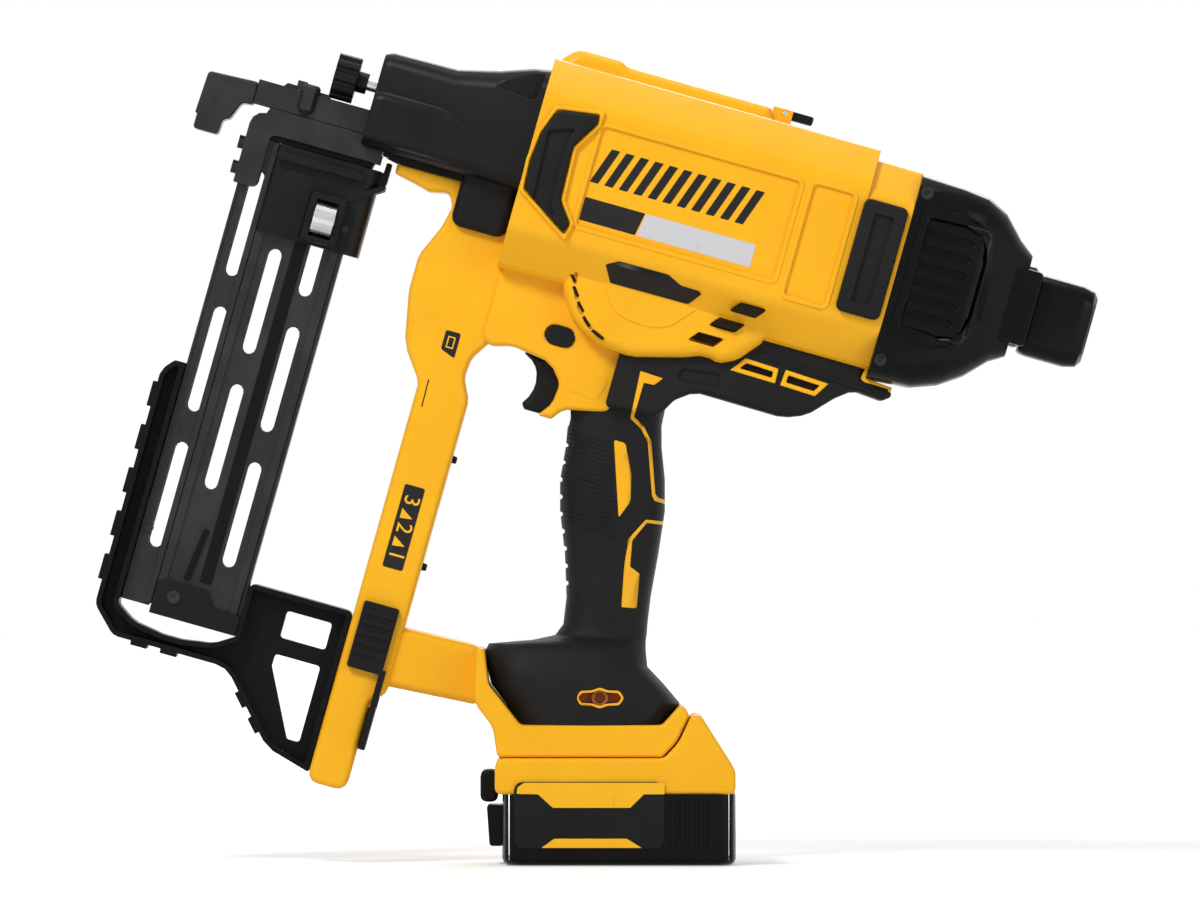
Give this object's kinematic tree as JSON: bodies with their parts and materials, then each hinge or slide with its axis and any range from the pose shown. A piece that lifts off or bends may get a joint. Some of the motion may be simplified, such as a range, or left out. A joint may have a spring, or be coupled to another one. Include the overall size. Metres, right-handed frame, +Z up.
{
  "type": "cordless fencing stapler",
  "caption": "Pistol-grip cordless fencing stapler with a slanted drive barrel, a sliding staple magazine, a foot frame and a slide-on battery it stands on.",
  "frame": {"origin": "on the floor, under the middle of the handle, on the battery's flat base", "axes": "+X from the nose to the tail, +Y to the tool's right-hand side, +Z up"},
  "size_m": [0.4694, 0.101, 0.381],
  "materials": {
    "yellow_plastic": "fine-grained satin moulding",
    "black_plastic": "satin moulding",
    "soft_rubber": "soft textured overmoulding",
    "bright_steel": "machined",
    "dark_steel": "black coated sheet",
    "brass_fit": "turned",
    "winding": "varnished copper wire",
    "cell_can": "plain can",
    "board": "coated board"
  },
  "bodies": {
    "body": {"housing_left": "yellow_plastic", "housing_right": "yellow_plastic", "nose_cover": "black_plastic", "rear_cap": "black_plastic", "tail_cover": "soft_rubber", "grip_left": "soft_rubber", "grip_right": "soft_rubber", "front_side_pads": "soft_rubber", "rear_side_pads": "soft_rubber", "housing_screws": "dark_steel", "rear_cap_screws": "bright_steel", "hook_inserts": "brass_fit", "nosepiece": "bright_steel", "nose_bracket": "dark_steel", "bracket_bolts": "bright_steel", "front_rail": "dark_steel", "rail_rivets": "bright_steel", "trip_spring": "bright_steel", "trigger_spring": "bright_steel", "trigger_switch": "black_plastic", "stall_lever_pin": "bright_steel", "front_plate": "bright_steel", "rear_plate": "bright_steel", "guide_rods": "bright_steel", "return_springs": "bright_steel", "driver_bumper": "soft_rubber", "guide_bush": "brass_fit", "bearings": "bright_steel", "motor_stator": "winding", "stator_mount": "bright_steel", "solenoid": "winding", "controller_board": "board", "terminal_block": "black_plastic"},
    "trip": {"contact_trip_foot": "dark_steel", "contact_trip_arm": "dark_steel"},
    "depth": {"depth_wheel": "black_plastic", "depth_rod": "bright_steel"},
    "drawer": {"magazine_left_plate": "dark_steel", "magazine_right_plate": "dark_steel", "magazine_spine": "dark_steel", "magazine_end_cap": "black_plastic", "end_cap_screw": "bright_steel", "foot_frame": "black_plastic"},
    "pusher": {"pusher_carriage": "black_plastic", "coil_pin": "bright_steel"},
    "coil": {"spring_coil": "bright_steel"},
    "latch": {"magazine_latch": "black_plastic"},
    "trigger": {"trigger": "black_plastic"},
    "lock": {"lock_button": "black_plastic"},
    "lever": {"stall_lever": "black_plastic"},
    "driver": {"driver": "bright_steel"},
    "flywheel": {"flywheel": "dark_steel", "flywheel_shaft": "bright_steel"},
    "yoke": {"pinch_yoke": "dark_steel"},
    "roller": {"pinch_roller": "bright_steel"},
    "battery": {"battery_case": "black_plastic", "battery_shell": "yellow_plastic", "battery_panels": "black_plastic", "battery_cells": "cell_can"},
    "battery_button": {"battery_button": "black_plastic"}
  },
  "joints": [
    {"name": "trip_press", "type": "slide", "parent": "body", "child": "trip", "axis": [0.9627, 0, -0.2706], "range_m": [0, 0.0065], "stiffness_N_per_m": 1500, "springref_m": -0.006, "deforming": ["trip_spring"]},
    {"name": "depth_wheel_turn", "type": "hinge", "parent": "body", "child": "depth", "pos_m": [-0.11666, 0, 0.36815], "axis": [0.9627, 0, -0.2706], "continuous": true},
    {"name": "magazine_slide", "type": "slide", "parent": "body", "child": "drawer", "axis": [-0.2706, 0, -0.9627], "range_m": [0, 0.07]},
    {"name": "pusher_slide", "type": "slide", "parent": "drawer", "child": "pusher", "axis": [-0.2706, 0, -0.9627], "range_m": [0, 0.13], "stiffness_N_per_m": 40, "springref_m": -0.2},
    {"name": "coil_spin", "type": "hinge", "parent": "pusher", "child": "coil", "pos_m": [-0.12708, -0.0194, 0.30148], "axis": [0.9627, 0, -0.2706], "continuous": true},
    {"name": "latch_press", "type": "slide", "parent": "body", "child": "latch", "axis": [-0.2706, 0, -0.9627], "range_m": [0, 0.005], "stiffness_N_per_m": 1000, "springref_m": -0.005},
    {"name": "trigger_pull", "type": "slide", "parent": "body", "child": "trigger", "axis": [0.9627, 0, -0.2706], "range_m": [0, 0.006], "stiffness_N_per_m": 800, "springref_m": -0.004, "deforming": ["trigger_spring"]},
    {"name": "lock_push", "type": "slide", "parent": "body", "child": "lock", "axis": [0, 1, 0], "range_m": [0, 0.004]},
    {"name": "stall_lever_lift", "type": "hinge", "parent": "body", "child": "lever", "pos_m": [0.08895, 0, 0.35128], "axis": [0, -1, 0], "range_deg": [0, 40], "stiffness_Nm_per_rad": 0.05, "springref_deg": -11.46},
    {"name": "driver_stroke", "type": "slide", "parent": "body", "child": "driver", "axis": [-0.9627, 0, 0.2706], "range_m": [0, 0.062], "stiffness_N_per_m": 300, "springref_m": -0.03, "deforming": ["return_springs"]},
    {"name": "flywheel_spin", "type": "hinge", "parent": "body", "child": "flywheel", "pos_m": [0.02222, 0, 0.27094], "axis": [0, 1, 0], "continuous": true},
    {"name": "pinch_press", "type": "slide", "parent": "body", "child": "yoke", "axis": [-0.2706, 0, -0.9627], "range_m": [0, 0.0008], "stiffness_N_per_m": 5000, "springref_m": -0.001},
    {"name": "roller_spin", "type": "hinge", "parent": "yoke", "child": "roller", "pos_m": [0.03491, 0, 0.31609], "axis": [0, 1, 0], "continuous": true},
    {"name": "battery_slide", "type": "slide", "parent": "body", "child": "battery", "axis": [1, 0, 0], "range_m": [0, 0.09]},
    {"name": "battery_button_press", "type": "slide", "parent": "battery", "child": "battery_button", "axis": [1, 0, 0], "range_m": [0, 0.0035], "stiffness_N_per_m": 1000, "springref_m": -0.004}
  ],
  "couplings": [
    {"joint": "coil_spin", "follows": "pusher_slide", "rad_per_m": 117.65}
  ]
}
